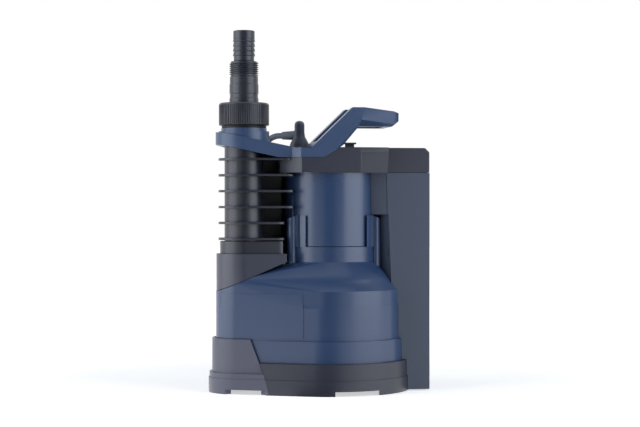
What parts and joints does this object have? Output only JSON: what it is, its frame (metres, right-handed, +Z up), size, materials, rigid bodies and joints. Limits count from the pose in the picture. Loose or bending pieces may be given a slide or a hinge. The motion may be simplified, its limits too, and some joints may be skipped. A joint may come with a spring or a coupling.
{
  "type": "submersible drainage pump",
  "caption": "Submersible drainage pump with a finned upright discharge pipe, a union nut and stepped hose tail, a boxed float switch and a carrying loop.",
  "frame": {"origin": "centre of the pump's footprint box on the ground, without the cable", "axes": "+Z up, +X towards the float housing, -Y towards the side with the label field"},
  "size_m": [0.2486, 0.3715, 0.4068],
  "materials": {
    "blue_plastic": "satin",
    "dark_plastic": "satin",
    "slate_plastic": "satin",
    "black_plastic": "satin",
    "float_foam": "matte",
    "steel": "brushed",
    "copper": "satin",
    "rubber": "matte"
  },
  "bodies": {
    "pump": {"pump_housing": "blue_plastic", "motor_shell": "blue_plastic", "carry_handle": "blue_plastic", "suction_base": "dark_plastic", "base_end_panel": "dark_plastic", "top_cover": "dark_plastic", "float_cap": "dark_plastic", "float_housing": "slate_plastic", "elbow_cover": "slate_plastic", "cable_gland": "slate_plastic", "discharge_pipe": "black_plastic", "reed_switch": "black_plastic", "mains_plug": "black_plastic", "base_screws": "steel", "lower_bearing": "steel", "upper_bearing": "steel", "motor_cup": "steel", "upper_bracket": "steel", "shell_screws": "steel", "top_plate": "steel", "cover_screws": "steel", "capacitor": "steel", "guide_rod": "steel", "handle_screws": "steel", "stator_core": "steel", "stator_windings": "copper", "shaft_seal": "rubber", "shell_seal": "rubber", "pipe_seal": "rubber", "union_gasket": "rubber", "power_cable": "rubber", "cable_coil": "rubber", "cable_tie": "rubber", "plug_lead": "rubber"},
    "rotor": {"motor_shaft": "steel", "rotor_core": "steel", "impeller": "black_plastic", "impeller_nut": "steel"},
    "float": {"float_body": "float_foam", "float_magnet": "steel"},
    "nut": {"union_nut": "black_plastic"},
    "tail": {"hose_tail": "black_plastic"},
    "lever": {"mode_lever": "dark_plastic"}
  },
  "joints": [
    {"name": "impeller_spin", "type": "hinge", "parent": "pump", "child": "rotor", "pos_m": [0.0167, 0, 0.1], "axis": [0, 0, 1], "continuous": true},
    {"name": "float_rise", "type": "slide", "parent": "pump", "child": "float", "axis": [0, 0, 1], "range_m": [0, 0.07]},
    {"name": "union_nut_turn", "type": "hinge", "parent": "pump", "child": "nut", "pos_m": [-0.0843, -0.015, 0.31], "axis": [0, 0, 1], "continuous": true},
    {"name": "hose_tail_turn", "type": "hinge", "parent": "pump", "child": "tail", "pos_m": [-0.0843, -0.015, 0.36], "axis": [0, 0, 1], "continuous": true},
    {"name": "mode_lever_slide", "type": "slide", "parent": "pump", "child": "lever", "axis": [1, 0, 0], "range_m": [-0.005, 0.005]}
  ]
}
